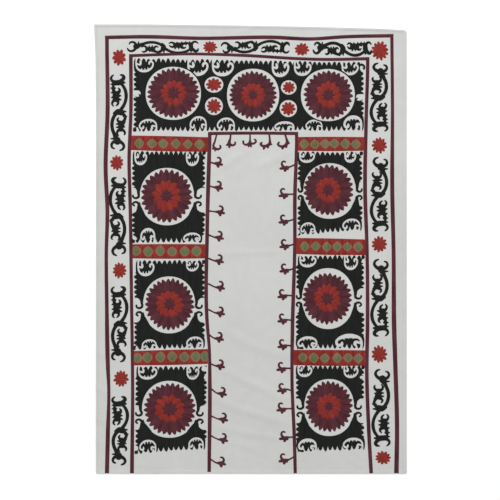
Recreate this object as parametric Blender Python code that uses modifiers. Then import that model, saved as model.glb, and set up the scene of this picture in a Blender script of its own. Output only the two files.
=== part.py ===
"""Embroidered wedding sheet, laid flat and face up.

One cotton ground cloth with its turned hem: a thin sheet that lies on the surface and lifts
from it in a few low, soft folds. Metres, +Z up. X runs across the cloth and +Y towards its
closed end, where the embroidered border turns its corners. The origin is on the surface,
under the middle of the cloth.
"""

import math
from collections import namedtuple

import bmesh
import bpy
from mathutils import Matrix

# The rectangle that the cloth just fills, and what it is made of
CLOTH_WIDTH = 1.438
CLOTH_LENGTH = 2.067
CLOTH_THICKNESS = 0.002
HEM_THICKNESS = 0.003
HEM_SLOPE = 0.004

# How wide the hem is turned on each side
RIGHT_HEM = 0.017
OTHER_HEM = 0.009

# How round each corner is
CLOSED_LEFT_CORNER = 0.002
CLOSED_RIGHT_CORNER = 0.012
OPEN_CORNER = 0.006

# The mesh: the size of its squares where the cloth is flat, and how often they halve at a fold
FLAT_SQUARE = 0.1
HALVINGS = 3
FOLD_MARGIN = 0.002

GROUND_COLOUR = (0.62, 0.63, 0.60, 1.0)
GROUND_ROUGHNESS = 0.92

# How far an edge stands in from the rectangle, at places along it
EdgePoint = namedtuple("EdgePoint", "along inset")
LEFT_EDGE = (
    EdgePoint(along=-1.034, inset=0.0090),
    EdgePoint(along=0.640, inset=0.0092),
    EdgePoint(along=0.880, inset=0.0070),
    EdgePoint(along=1.034, inset=0.0000),
)
CLOSED_EDGE = (
    EdgePoint(along=-0.719, inset=0.0000),
    EdgePoint(along=-0.460, inset=0.0005),
    EdgePoint(along=-0.050, inset=0.0055),
    EdgePoint(along=0.320, inset=0.0125),
    EdgePoint(along=0.610, inset=0.0210),
    EdgePoint(along=0.719, inset=0.0280),
)

# The folds: each runs from (x0, y0) to (x1, y1), bows to the left of that way by bow at its
# middle, and falls to the surface at half_width on each side of its ridge
Fold = namedtuple("Fold", "x0 y0 x1 y1 bow half_width height")
FOLDS = (
    Fold(x0=-0.200, y0=-0.024, x1=0.205, y1=-0.008, bow=0.000, half_width=0.022, height=0.0022),
    Fold(x0=-0.150, y0=-0.345, x1=0.205, y1=-0.492, bow=-0.030, half_width=0.034, height=0.0034),
    Fold(x0=-0.175, y0=-0.520, x1=0.190, y1=-0.702, bow=-0.006, half_width=0.030, height=0.0038),
    Fold(x0=-0.205, y0=-0.676, x1=0.215, y1=-0.808, bow=-0.010, half_width=0.028, height=0.0040),
    Fold(x0=-0.190, y0=-0.806, x1=0.170, y1=-0.874, bow=-0.006, half_width=0.024, height=0.0028),
    Fold(x0=-0.110, y0=-0.880, x1=0.070, y1=-0.930, bow=0.000, half_width=0.022, height=0.0018),
    Fold(x0=0.205, y0=0.458, x1=-0.010, y1=0.362, bow=0.004, half_width=0.028, height=0.0026),
    Fold(x0=0.000, y0=0.456, x1=-0.185, y1=0.345, bow=-0.004, half_width=0.026, height=0.0024),
    Fold(x0=-0.760, y0=0.612, x1=-0.664, y1=0.572, bow=0.000, half_width=0.018, height=0.0016),
    Fold(x0=-0.765, y0=-0.440, x1=-0.655, y1=-0.496, bow=0.000, half_width=0.018, height=0.0020),
    Fold(x0=-0.770, y0=-0.592, x1=-0.640, y1=-0.680, bow=0.000, half_width=0.022, height=0.0024),
    Fold(x0=-0.765, y0=-0.742, x1=-0.655, y1=-0.806, bow=0.000, half_width=0.020, height=0.0022),
    Fold(x0=-0.765, y0=-0.860, x1=-0.660, y1=-0.905, bow=0.000, half_width=0.018, height=0.0018),
    Fold(x0=-0.090, y0=0.985, x1=0.060, y1=1.030, bow=0.000, half_width=0.018, height=0.0018),
    Fold(x0=0.340, y0=0.982, x1=0.480, y1=1.022, bow=0.000, half_width=0.018, height=0.0018),
    Fold(x0=0.430, y0=-0.945, x1=0.545, y1=-1.030, bow=0.000, half_width=0.018, height=0.0016),
)


def between(points, along):
    """The inset at a place along an edge, in a straight line between its points."""
    for low, high in zip(points, points[1:]):
        if along <= high.along:
            share = (along - low.along) / (high.along - low.along)
            return low.inset + (high.inset - low.inset) * max(0.0, share)
    return points[-1].inset


def corner_radius(x, y):
    """How round the corner nearest to a place is."""
    if y < 0.0:
        return OPEN_CORNER
    return CLOSED_LEFT_CORNER if x < 0.0 else CLOSED_RIGHT_CORNER


def round_the_corner(x, y):
    """Moves a place of the rectangle in, near a corner, so that the corner becomes an arc."""
    radius = corner_radius(x, y)
    past_x = (abs(x) - (CLOTH_WIDTH / 2 - radius)) / radius
    past_y = (abs(y) - (CLOTH_LENGTH / 2 - radius)) / radius
    if past_x <= 0.0 or past_y <= 0.0:
        return x, y
    new_x = abs(x) - radius * past_x * (1.0 - math.sqrt(1.0 - past_y**2 / 2))
    new_y = abs(y) - radius * past_y * (1.0 - math.sqrt(1.0 - past_x**2 / 2))
    return math.copysign(new_x, x), math.copysign(new_y, y)


def to_outline(x, y):
    """Carries a place of the rectangle to where it lies in the uneven cloth."""
    x, y = round_the_corner(x, y)
    left = between(LEFT_EDGE, y) * (0.5 - x / CLOTH_WIDTH)
    down = between(CLOSED_EDGE, x) * (0.5 + y / CLOTH_LENGTH)
    return x + left, y - down


def on_fold(fold, x, y):
    """A place's share of the way along a fold, and its distance from the ridge there."""
    run_x = fold.x1 - fold.x0
    run_y = fold.y1 - fold.y0
    length = math.hypot(run_x, run_y)
    along = ((x - fold.x0) * run_x + (y - fold.y0) * run_y) / length**2
    aside = ((y - fold.y0) * run_x - (x - fold.x0) * run_y) / length
    bowed = 4.0 * fold.bow * along * (1.0 - along)
    return along, aside - bowed


def sheet_height(x, y):
    """How high the cloth's underside stands over the surface."""
    height = 0.0
    for fold in FOLDS:
        along, aside = on_fold(fold, x, y)
        if 0.0 < along < 1.0 and abs(aside) < fold.half_width:
            side = 1.0 - (aside / fold.half_width) ** 2
            end = 4.0 * along * (1.0 - along)
            height = max(height, fold.height * side**2 * end)
    return height


def near_fold(x, y, margin):
    """Whether a place is within a margin of a fold's foot."""
    for fold in FOLDS:
        along, aside = on_fold(fold, x, y)
        length = math.hypot(fold.x1 - fold.x0, fold.y1 - fold.y0)
        past_end = max(0.0, -along, along - 1.0) * length
        if past_end < margin and abs(aside) < fold.half_width + margin:
            return True
    return False


def hem_lines():
    """The lines where the hem ends and where it has run out, as places and directions."""
    for out in (0.0, HEM_SLOPE):
        yield (-CLOTH_WIDTH / 2 + OTHER_HEM + out, 0.0, 0.0), (1.0, 0.0, 0.0)
        yield (CLOTH_WIDTH / 2 - RIGHT_HEM - out, 0.0, 0.0), (1.0, 0.0, 0.0)
        yield (0.0, -CLOTH_LENGTH / 2 + OTHER_HEM + out, 0.0), (0.0, 1.0, 0.0)
        yield (0.0, CLOTH_LENGTH / 2 - OTHER_HEM - out, 0.0), (0.0, 1.0, 0.0)


def in_hem(x, y):
    """Whether a place of the rectangle is on the turned hem."""
    past_side = x < -CLOTH_WIDTH / 2 + OTHER_HEM or x > CLOTH_WIDTH / 2 - RIGHT_HEM
    return past_side or abs(y) > CLOTH_LENGTH / 2 - OTHER_HEM


def cut_rectangle():
    """The flat cloth before it is laid: squares, marked with the lines of the hem."""
    cloth = bmesh.new()
    bmesh.ops.create_grid(
        cloth,
        x_segments=round(CLOTH_WIDTH / FLAT_SQUARE),
        y_segments=round(CLOTH_LENGTH / FLAT_SQUARE),
        size=1.0,
        matrix=Matrix.Diagonal((CLOTH_WIDTH / 2, CLOTH_LENGTH / 2, 1.0, 1.0)),
    )
    for place, direction in hem_lines():
        everything = cloth.verts[:] + cloth.edges[:] + cloth.faces[:]
        bmesh.ops.bisect_plane(cloth, geom=everything, plane_co=place, plane_no=direction)
    return cloth


def halve_squares_at_folds(cloth):
    """Makes the squares small enough, along the folds, to bend with them."""
    square = FLAT_SQUARE
    for _ in range(HALVINGS):
        margin = FOLD_MARGIN + square / 2
        edges = set()
        for face in cloth.faces:
            centre = face.calc_center_median()
            if near_fold(*to_outline(centre.x, centre.y), margin):
                edges.update(edge for edge in face.edges if edge.calc_length() > square / 2)
        bmesh.ops.subdivide_edges(cloth, edges=list(edges), cuts=1, use_grid_fill=True)
        square /= 2


def lay_cloth(cloth):
    """Gives each corner of the mesh its place as the cloth lies. Returns which are on the hem."""
    cloth.verts.ensure_lookup_table()
    on_hem = []
    for vert in cloth.verts:
        shrunk = 1.0 - 1e-6
        if in_hem(vert.co.x / shrunk, vert.co.y / shrunk):
            on_hem.append(vert.index)
        x, y = to_outline(vert.co.x, vert.co.y)
        vert.co = (x, y, sheet_height(x, y))
    return on_hem


def cotton_material():
    material = bpy.data.materials.new("cotton_ground")
    material.use_nodes = True
    shader = material.node_tree.nodes["Principled BSDF"]
    shader.inputs["Base Color"].default_value = GROUND_COLOUR
    shader.inputs["Roughness"].default_value = GROUND_ROUGHNESS
    shader.inputs["Metallic"].default_value = 0.0
    return material


def add_thickness(cloth_object, on_hem):
    """Turns the open surface into a sheet that stands on it and is thicker on the hem."""
    group = cloth_object.vertex_groups.new(name="thickness")
    everywhere = range(len(cloth_object.data.vertices))
    group.add(list(everywhere), CLOTH_THICKNESS / HEM_THICKNESS, "REPLACE")
    group.add(on_hem, 1.0, "REPLACE")
    solidify = cloth_object.modifiers.new("thickness", "SOLIDIFY")
    solidify.thickness = HEM_THICKNESS
    solidify.offset = 1.0
    solidify.vertex_group = group.name
    solidify.thickness_vertex_group = 0.0


def make_ground_cloth(collection):
    cloth = cut_rectangle()
    halve_squares_at_folds(cloth)
    on_hem = lay_cloth(cloth)
    mesh = bpy.data.meshes.new("ground_cloth")
    cloth.to_mesh(mesh)
    cloth.free()
    mesh.materials.append(cotton_material())
    mesh.shade_smooth()
    cloth_object = bpy.data.objects.new("ground_cloth", mesh)
    collection.objects.link(cloth_object)
    add_thickness(cloth_object, on_hem)


def main():
    for leftover in list(bpy.data.objects):
        bpy.data.objects.remove(leftover)
    collection = bpy.data.collections.new("embroidered_wedding_sheet")
    bpy.context.scene.collection.children.link(collection)
    make_ground_cloth(collection)


main()
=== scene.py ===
"""Embroidered wedding sheet: one off-white cotton cloth, laid flat and face up, with its worked border.

The stitching is drawn in millimetres from the middle of the cloth, X across it and +Y towards
its closed end, where the border turns its corners. Everything else is in metres.
"""

import math
import random
from collections import namedtuple

import bpy
from bpy.props import FloatProperty, FloatVectorProperty, PointerProperty
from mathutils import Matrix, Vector
from mathutils.geometry import delaunay_2d_cdt
from mathutils.kdtree import KDTree


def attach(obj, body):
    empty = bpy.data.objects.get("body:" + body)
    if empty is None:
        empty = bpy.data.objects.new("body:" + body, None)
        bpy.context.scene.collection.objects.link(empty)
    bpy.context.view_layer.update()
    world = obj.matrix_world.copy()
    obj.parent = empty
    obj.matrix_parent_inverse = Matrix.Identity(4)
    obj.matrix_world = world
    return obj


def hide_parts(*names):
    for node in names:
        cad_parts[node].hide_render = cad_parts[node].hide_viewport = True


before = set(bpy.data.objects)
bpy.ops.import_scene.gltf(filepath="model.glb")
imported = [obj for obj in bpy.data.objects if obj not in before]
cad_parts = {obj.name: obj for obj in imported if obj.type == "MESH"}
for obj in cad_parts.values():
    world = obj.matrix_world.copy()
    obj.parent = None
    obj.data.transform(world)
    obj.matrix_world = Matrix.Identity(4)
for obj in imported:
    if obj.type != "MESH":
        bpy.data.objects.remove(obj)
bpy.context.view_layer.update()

bl_info = {
    "name": "Embroidered wedding sheet",
    "version": (1, 0, 0),
    "blender": (4, 5, 0),
    "location": "3D Viewport > Sidebar > Sheet",
    "description": "Makes a laid cotton sheet with a worked border, and a plain studio to see it in",
    "category": "Add Mesh",
}

MM = 0.001
STUDIO_LIGHT = 1.20


def dyed(red, green, blue):
    """The colour of a cloth or thread that this studio's light shows as these 8-bit values."""
    shown = (red / 255, green / 255, blue / 255)
    plain = [((s + 0.055) / 1.055) ** 2.4 if s > 0.04045 else s / 12.92 for s in shown]
    return (*(p / STUDIO_LIGHT for p in plain), 1.0)


def colour_property(name, description, default):
    return FloatVectorProperty(
        name=name, description=description, default=default, size=4, subtype="COLOR", min=0.0, max=1.0
    )


def length_property(name, description, default):
    return FloatProperty(
        name=name, description=description, default=default, min=0.0, subtype="DISTANCE", unit="LENGTH"
    )


class SheetCloth(bpy.types.PropertyGroup):
    """The ground cloth's sizes and colour."""

    width: length_property("Width", "Across the flat cloth", 1.438)
    length: length_property("Length", "Along the flat cloth", 2.067)
    thickness: length_property("Thickness", "Of the single cloth", 0.0008)
    hem_thickness: length_property("Hem thickness", "Of the cloth where its hem is turned", 0.0016)
    right_hem: length_property("Right hem", "Width of the hem on the right", 0.017)
    other_hem: length_property("Other hems", "Width of the hem on the other sides", 0.009)
    light: colour_property("Cotton", "The cotton where it is cleanest", dyed(215, 216, 214))
    dark: colour_property("Dull cotton", "The cotton where it has dulled", dyed(201, 202, 199))


class SheetThreads(bpy.types.PropertyGroup):
    """How high the stitching stands and what colours it has."""

    rim: length_property("Rim", "Height of a patch of stitching at its edge", 0.0004)
    crown: length_property("Crown", "Height of a patch of stitching inside its edge", 0.0010)
    black: colour_property("Black thread", "Main colour of the black thread", dyed(28, 30, 28))
    maroon: colour_property("Maroon thread", "Main colour of the maroon thread", dyed(82, 41, 48))
    red: colour_property("Red thread", "Main colour of the red thread", dyed(143, 49, 43))
    green: colour_property("Green thread", "Main colour of the green thread", dyed(98, 111, 79))
    tan: colour_property("Tan thread", "Main colour of the thread round the green", dyed(134, 105, 79))


class SheetStudio(bpy.types.PropertyGroup):
    """The floor, the light and the camera."""

    floor: colour_property("Floor", "Colour of the floor", (0.96, 0.96, 0.955, 1.0))
    sky: FloatProperty(name="All-round light", description="Even light from everywhere", default=0.80)
    lamp: FloatProperty(name="Lamp", description="Power of the soft lamp", default=580.0, unit="POWER")
    height: length_property("Camera height", "Above the floor", 5.43)


# The ground cloth: how far an edge stands in from the rectangle at places along it, and how
# round each corner is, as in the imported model
EdgePoint = namedtuple("EdgePoint", "along inset")
LEFT_EDGE = (
    EdgePoint(along=-1.034, inset=0.0090),
    EdgePoint(along=0.640, inset=0.0092),
    EdgePoint(along=0.880, inset=0.0070),
    EdgePoint(along=1.034, inset=0.0000),
)
CLOSED_EDGE = (
    EdgePoint(along=-0.719, inset=0.0000),
    EdgePoint(along=-0.460, inset=0.0005),
    EdgePoint(along=-0.050, inset=0.0055),
    EdgePoint(along=0.320, inset=0.0125),
    EdgePoint(along=0.610, inset=0.0210),
    EdgePoint(along=0.719, inset=0.0280),
)
CLOSED_LEFT_CORNER = 0.002
CLOSED_RIGHT_CORNER = 0.012
OPEN_CORNER = 0.006
HEM_SLOPE = 0.0015
CLOTH_SQUARE = 0.0105

# Its folds: each runs from (x0, y0) to (x1, y1), bows to the left of that way by bow at its
# middle, and falls to the floor at half_width on each side of its ridge
Fold = namedtuple("Fold", "x0 y0 x1 y1 bow half_width height")
FOLDS = (
    Fold(x0=-0.200, y0=-0.024, x1=0.205, y1=-0.008, bow=0.000, half_width=0.022, height=0.0022),
    Fold(x0=-0.150, y0=-0.345, x1=0.205, y1=-0.492, bow=-0.030, half_width=0.034, height=0.0034),
    Fold(x0=-0.175, y0=-0.520, x1=0.190, y1=-0.702, bow=-0.006, half_width=0.030, height=0.0038),
    Fold(x0=-0.205, y0=-0.676, x1=0.215, y1=-0.808, bow=-0.010, half_width=0.028, height=0.0040),
    Fold(x0=-0.190, y0=-0.806, x1=0.170, y1=-0.874, bow=-0.006, half_width=0.024, height=0.0028),
    Fold(x0=-0.110, y0=-0.880, x1=0.070, y1=-0.930, bow=0.000, half_width=0.022, height=0.0018),
    Fold(x0=0.205, y0=0.458, x1=-0.010, y1=0.362, bow=0.004, half_width=0.028, height=0.0026),
    Fold(x0=0.000, y0=0.456, x1=-0.185, y1=0.345, bow=-0.004, half_width=0.026, height=0.0024),
    Fold(x0=-0.760, y0=0.612, x1=-0.664, y1=0.572, bow=0.000, half_width=0.018, height=0.0016),
    Fold(x0=-0.765, y0=-0.440, x1=-0.655, y1=-0.496, bow=0.000, half_width=0.018, height=0.0020),
    Fold(x0=-0.770, y0=-0.592, x1=-0.640, y1=-0.680, bow=0.000, half_width=0.022, height=0.0024),
    Fold(x0=-0.765, y0=-0.742, x1=-0.655, y1=-0.806, bow=0.000, half_width=0.020, height=0.0022),
    Fold(x0=-0.765, y0=-0.860, x1=-0.660, y1=-0.905, bow=0.000, half_width=0.018, height=0.0018),
    Fold(x0=-0.090, y0=0.985, x1=0.060, y1=1.030, bow=0.000, half_width=0.018, height=0.0018),
    Fold(x0=0.340, y0=0.982, x1=0.480, y1=1.022, bow=0.000, half_width=0.018, height=0.0018),
    Fold(x0=0.430, y0=-0.945, x1=0.545, y1=-1.030, bow=0.000, half_width=0.018, height=0.0016),
)

# The worked lines. Each is a list of stations: place along the line, its middle there, width
LINES_UP = (
    ((-1031, -659, 19), (-856, -655, 19), (-626, -651, 15), (-557, -654, 18), (-235, -660, 17),
     (-28, -662, 16), (179, -657, 18), (363, -665, 19), (639, -656, 19), (961, -659, 17), (981, -659, 17)),
    ((-1031, 672, 21), (-833, 675, 20), (-557, 668, 20), (-373, 662, 21), (-5, 659, 18), (271, 653, 19),
     (639, 654, 15), (988, 651, 15)),
    ((-1031, -544, 18), (-626, -541, 15), (-235, -546, 15), (202, -552, 16), (409, -557, 16),
     (639, -549, 16), (869, -549, 17), (895, -549, 17)),
    ((-1031, 556, 17), (-833, 545, 17), (-557, 536, 17), (-373, 539, 17), (-5, 537, 16), (271, 528, 18),
     (593, 533, 16), (869, 540, 16), (882, 540, 16)),
    ((-1025, -189, 16), (-603, -186, 17), (-465, -188, 14), (-327, -199, 16), (87, -198, 17),
     (501, -187, 17), (537, -186, 16)),
    ((-1031, 207, 15), (-879, 203, 16), (-603, 192, 15), (-373, 194, 17), (41, 205, 16), (225, 205, 17),
     (501, 213, 15), (537, 213, 15)),
)
LINES_ACROSS = (
    ((-668, 973, 16), (-484, 976, 17), (-231, 969, 16), (114, 973, 17), (275, 966, 16), (436, 976, 16),
     (658, 981, 16)),
    ((-557, 889, 14), (-277, 897, 13), (-24, 890, 14), (229, 875, 14), (321, 872, 14), (544, 875, 15)),
    ((-194, 531, 15), (10, 533, 14), (220, 531, 15)),
)

# The red stars of the border: middle, and half width and half height
Star = namedtuple("Star", "x y half_width half_height points")
BORDER_STARS = (
    Star(-603, 881, 33, 40, 9), Star(-613, 396, 32, 37, 10), Star(-601, -98, 34, 39, 11),
    Star(-594, -596, 36, 41, 11), Star(-185, 929, 34, 29, 11), Star(237, 918, 36, 31, 10),
    Star(596, 912, 43, 46, 12), Star(594, 477, 37, 39, 11), Star(594, 22, 37, 39, 11),
    Star(594, -484, 38, 43, 11), Star(611, -960, 39, 32, 11),
)
MEDALLIONS = (
    Star(-167, 756, 43, 37, 9), Star(-167, 657, 41, 41, 10),
    Star(177, 743, 36, 33, 9), Star(175, 646, 40, 39, 9),
)

# The scrolls between them: middle, half length, turn in degrees, and scale across, which is
# negative for a mirrored one
Placed = namedtuple("Placed", "x y half_length turn across")
SCROLLS = (
    Placed(-607, 628, 177, 0, 1.0), Placed(-607, 150, 182, 0, -1.0), Placed(-604, -345, 175, 0, 1.0),
    Placed(-601, -835, 159, 0, 1.0), Placed(595, 697, 159, 180, 1.07), Placed(596, 251, 172, 180, 1.07),
    Placed(598, -225, 179, 180, 1.07), Placed(604, -731, 179, 180, 1.09),
    Placed(-401, 929, 166, -90, 0.74), Placed(24, 928, 159, -90, -0.76), Placed(424, 922, 136, -90, 0.86),
)
SCROLL_HALF_LENGTH = 177.0
SCROLL_STROKES = (
    # the open end's horns and the block that they stand on
    ((-22, 172, 6), (-30, 165, 10), (-33, 155, 12), (-27, 145, 14), (-12, 139, 18)),
    ((9, 173, 6), (20, 170, 13), (26, 162, 16), (20, 151, 18), (8, 141, 20)),
    ((-20, 137, 18), (0, 137, 26), (16, 138, 20), (30, 137, 8)),
    ((-12, 132, 18), (-34, 130, 6)),
    # the upper stem, down to the crossing
    ((8, 137, 14), (19, 126, 14), (30, 108, 15), (36, 84, 16), (35, 60, 15), (26, 34, 15), (12, 12, 17)),
    # the upper leaf
    ((-18, 134, 14), (-24, 120, 12), (-24, 108, 13), (-18, 94, 18), (-12, 76, 30), (-12, 60, 26)),
    ((-18, 112, 14), (-35, 112, 5)),
    ((-20, 94, 18), (-32, 90, 6)),
    ((-18, 72, 18), (-31, 68, 6)),
    ((-4, 88, 22), (5, 97, 15), (6, 106, 10), (0, 112, 6)),
    ((-4, 76, 20), (12, 77, 6)),
    ((-4, 62, 20), (13, 58, 6)),
    ((-16, 60, 18), (-26, 48, 12), (-28, 38, 10), (-22, 29, 6)),
    ((-8, 58, 20), (0, 46, 12), (-3, 37, 10), (-10, 31, 6)),
    # the crossing
    ((-16, -4, 18), (0, 3, 27), (16, 4, 18), (37, 4, 5)),
    ((6, -2, 22), (24, -9, 15), (32, -20, 14), (29, -34, 14), (20, -50, 22), (13, -64, 26), (12, -80, 18)),
    ((26, -16, 14), (40, -18, 5)),
    # the lower stem
    ((4, 4, 20), (-12, -8, 17), (-24, -28, 16), (-29, -52, 16), (-27, -76, 16), (-19, -98, 17),
     (-8, -124, 22)),
    # the lower leaf
    ((10, -46, 18), (0, -40, 13), (-4, -32, 10), (2, -24, 6)),
    ((8, -54, 16), (-9, -53, 6)),
    ((8, -68, 16), (-9, -68, 6)),
    ((18, -66, 16), (30, -66, 6)),
    ((22, -44, 14), (32, -44, 6)),
    ((8, -78, 16), (-4, -88, 12), (-5, -98, 10), (1, -107, 6)),
    ((16, -78, 16), (27, -86, 12), (31, -96, 10), (27, -104, 5)),
    # the other open end
    ((-10, -116, 22), (-4, -130, 32), (-4, -134, 30)),
    ((-8, -120, 16), (-33, -121, 6)),
    ((-10, -132, 18), (-25, -138, 14), (-31, -150, 12), (-27, -162, 10), (-18, -166, 7)),
    ((2, -132, 20), (18, -141, 15), (26, -155, 13), (20, -169, 11), (8, -175, 7)),
)

# The black fields. A rosette's reach is of its teeth's tips, and its ring is the bare cloth round it
Rosette = namedtuple("Rosette", "x y ring_x ring_y ring_width ring_height reach red_width red_height heart")
TOP_ROSETTES = (
    Rosette(-353, 717, -354, 716, 127, 122, 120, 64, 64, 32),
    Rosette(13, 708, 13, 708, 120, 121, 109, 60, 60, 25),
    Rosette(359, 708, 357, 708, 124, 120, 113, 62, 68, 30),
)
# A curl is a bare line that rounds a leaf in the black. It has a mouth in the teeth on one side
# unless that is 0, and rim is how wide it is at its far end
Curl = namedtuple("Curl", "x half_width depth rim mouth")
TOP_CURLS = (
    Curl(-486, 42, 66, 10, 12), Curl(-241, 48, 80, 15, 24), Curl(-126, 50, 79, 15, 34),
    Curl(139, 40, 78, 15, 11), Curl(241, 40, 70, 12, 14), Curl(459, 39, 63, 11, 6),
)
LOWER_CURLS = (
    Curl(-470, 42, 58, 9, 7), Curl(-239, 39, 70, 9, 8), Curl(-112, 41, 63, 9, 7),
    Curl(157, 46, 45, 10, 12), Curl(293, 39, 52, 8, 7), Curl(472, 43, 73, 17, 8),
)
# A cell's bottom is at its left, and rise is how much higher its right end is
Cell = namedtuple("Cell", "left right bottom rise top gap rosette upper_curls lower_curls bites")
CELLS = (
    Cell(-544, -206, 28, 2, 451, 225, Rosette(-384, 244, -383, 241, 125, 132, 120, 68, 80, 31),
         (Curl(-504, 29, 66, 10, 14), Curl(-266, 30, 70, 10, 9)),
         (Curl(-471, 34, 69, 11, 12), Curl(-268, 40, 46, 9, 0)),
         (((-208, 405, 18), (-198, 406, 20)), ((-529, 48, 16), (-540, 56, 16)))),
    Cell(-535, -208, -464, 9, -51, -281, Rosette(-371, -254, -373, -257, 120, 131, 117, 67, 67, 30),
         (Curl(-480, 39, 75, 12, 15), Curl(-266, 29, 52, 9, 13)),
         (Curl(-464, 34, 47, 8, 14), Curl(-255, 39, 54, 9, 12)),
         (((-211, -90, 22), (-200, -88, 24)), ((-522, -450, 8), (-522, -466, 13)))),
    Cell(-530, -199, -942, 22, -538, -775, Rosette(-370, -736, -372, -737, 126, 131, 119, 76, 67, 37),
         (Curl(-472, 44, 63, 11, 16), Curl(-264, 29, 63, 9, 10)),
         (Curl(-471, 39, 61, 9, 8), Curl(-249, 35, 57, 9, 11)),
         (((-213, -551, 23), (-196, -553, 22)), ((-205, -591, 17), (-196, -591, 19)),
          ((-527, -916, 24), (-540, -914, 26)))),
    Cell(217, 517, 63, 23, 448, 254, Rosette(359, 271, 365, 267, 121, 128, 115, 64, 64, 30),
         (Curl(261, 36, 52, 10, 7), Curl(460, 27, 52, 12, 7)),
         (Curl(265, 34, 56, 8, 0), Curl(465, 41, 58, 9, 13)),
         (((510, 412, 16), (524, 412, 18)), ((493, 442, 12), (493, 454, 16)),
          ((222, 100, 9), (214, 101, 14)), ((223, 78, 11), (214, 70, 14)))),
    Cell(209, 525, -460, 3, -29, -237, Rosette(354, -228, 358, -228, 120, 140, 117, 66, 69, 31),
         (Curl(265, 39, 56, 11, 10), Curl(463, 32, 68, 10, 12)),
         (Curl(263, 46, 59, 12, 0), Curl(454, 63, 70, 20, 9)),
         (((518, -58, 14), (530, -58, 17)),)),
    Cell(209, 525, -935, 12, -535, -744, Rosette(362, -724, 363, -729, 115, 131, 115, 63, 63, 23),
         (Curl(251, 34, 54, 10, 8), Curl(463, 34, 59, 10, 12)),
         (Curl(263, 43, 63, 14, 10), Curl(473, 47, 58, 11, 15)),
         (((510, -590, 13), (530, -590, 17)),)),
)
TOP_BITES = (
    ((507, 862, 10), (521, 858, 17), (533, 846, 17), (535, 824, 14)),
    ((510, 837, 11), (511, 828, 13), (518, 820, 12), (532, 817, 12)),
    ((-521, 556, 8), (-515, 546, 7), (-513, 532, 10)),
    ((-519, 715, 30), (-542, 720, 20)),
    ((500, 697, 30), (536, 703, 20)),
)
TOP_HOOKS = (
    ((-531, 690, 13), (-520, 688, 11), (-508, 693, 10), (-505, 704, 9), (-512, 710, 6)),
    ((512, 673, 13), (500, 671, 11), (489, 677, 10), (486, 688, 9), (493, 694, 6)),
    ((500, 815, 13), (499, 829, 9), (500, 842, 10), (511, 848, 9), (521, 844, 10), (525, 835, 9),
     (523, 827, 7)),
)
# The bare lines of a curl: across in half widths, towards its mouth, and in from the edge of the
# field in depths, and the width in shares of the rim's
CURL_MOUTH = ((1.0, -0.16, 0.0), (1.0, 0.20, 0.75))
CURL_CLOSED = ((0.62, 0.20, 0.70), (0.92, 0.26, 0.75))
CURL_RIM = (
    (1.0, 0.50, 0.75), (0.88, 0.76, 0.85), (0.52, 0.95, 0.95), (0.10, 1.0, 1.0), (-0.38, 0.95, 1.0),
    (-0.78, 0.78, 0.90), (-1.0, 0.54, 0.80), (-0.96, 0.33, 0.85), (-0.74, 0.25, 0.95), (-0.56, 0.34, 0.95),
    (-0.56, 0.46, 0.65),
)
CURL_CROWN = ((0.78, 0.82, 0.4), (0.45, 0.93, 0.9), (0.05, 0.97, 1.0), (-0.40, 0.92, 0.9), (-0.80, 0.72, 0.4))
CURL_INSIDE = (
    ((0.55, 0.22, 0.60), (0.47, 0.35, 1.0), (0.52, 0.49, 0.95), (0.76, 0.47, 0.80), (0.98, 0.40, 0.65)),
    ((-0.42, 0.96, 0.80), (-0.40, 0.72, 0.40)),
    ((-0.02, 1.0, 0.70), (-0.04, 0.78, 0.36)),
    ((0.36, 0.98, 0.70), (0.33, 0.77, 0.36)),
)
ARM_WIDTH = 8.5
RING_SQUARENESS = 2.12

# The red strips: left and right ends with their lower and upper edges, and the ovals' places
Strip = namedtuple("Strip", "left right left_low left_high right_low right_high roundness ovals")
STRIPS = (
    Strip(-549, -194, 455, 522, 447, 514, 1.3, (-511, -452, -400, -342, -287, -233)),
    Strip(-543, -205, -43, 22, -43, 22, 1.65, (-524, -469, -414, -359, -302, -247)),
    Strip(-538, -195, -535, -469, -528, -460, 1.6, (-519, -473, -413, -359, -303, -251, -209)),
    Strip(212, 528, 452, 515, 452, 515, 1.35, (248, 297, 344, 387, 437, 486)),
    Strip(208, 531, -23, 51, -28, 44, 1.35, (250, 301, 352, 400, 447, 496)),
    Strip(200, 533, -534, -464, -537, -466, 1.35, (242, 292, 343, 400, 450, 497)),
)

# The hook flowers: where a stem leaves the worked line, and the head's middle
Flower = namedtuple("Flower", "stem_x stem_y x y")
LEFT_FLOWERS = (
    Flower(-186, 400, -136, 390), Flower(-188, 290, -136, 280), Flower(-190, 175, -127, 167),
    Flower(-190, 64, -132, 50), Flower(-190, -44, -132, -58), Flower(-191, -161, -127, -180),
    Flower(-191, -279, -127, -298), Flower(-190, -394, -132, -415), Flower(-182, -528, -127, -541),
    Flower(-180, -643, -118, -668), Flower(-182, -767, -113, -786), Flower(-182, -858, -113, -880),
    Flower(-184, -966, -122, -988),
)
RIGHT_FLOWERS = (
    Flower(204, 387, 158, 373), Flower(202, 252, 154, 247), Flower(202, 137, 154, 125),
    Flower(201, 22, 158, 12), Flower(198, -91, 158, -100), Flower(195, -215, 149, -218),
    Flower(192, -328, 149, -330), Flower(188, -445, 149, -448), Flower(187, -549, 144, -553),
    Flower(188, -650, 147, -650), Flower(192, -734, 144, -739), Flower(198, -865, 156, -870),
    Flower(203, -954, 154, -973),
)
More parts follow.
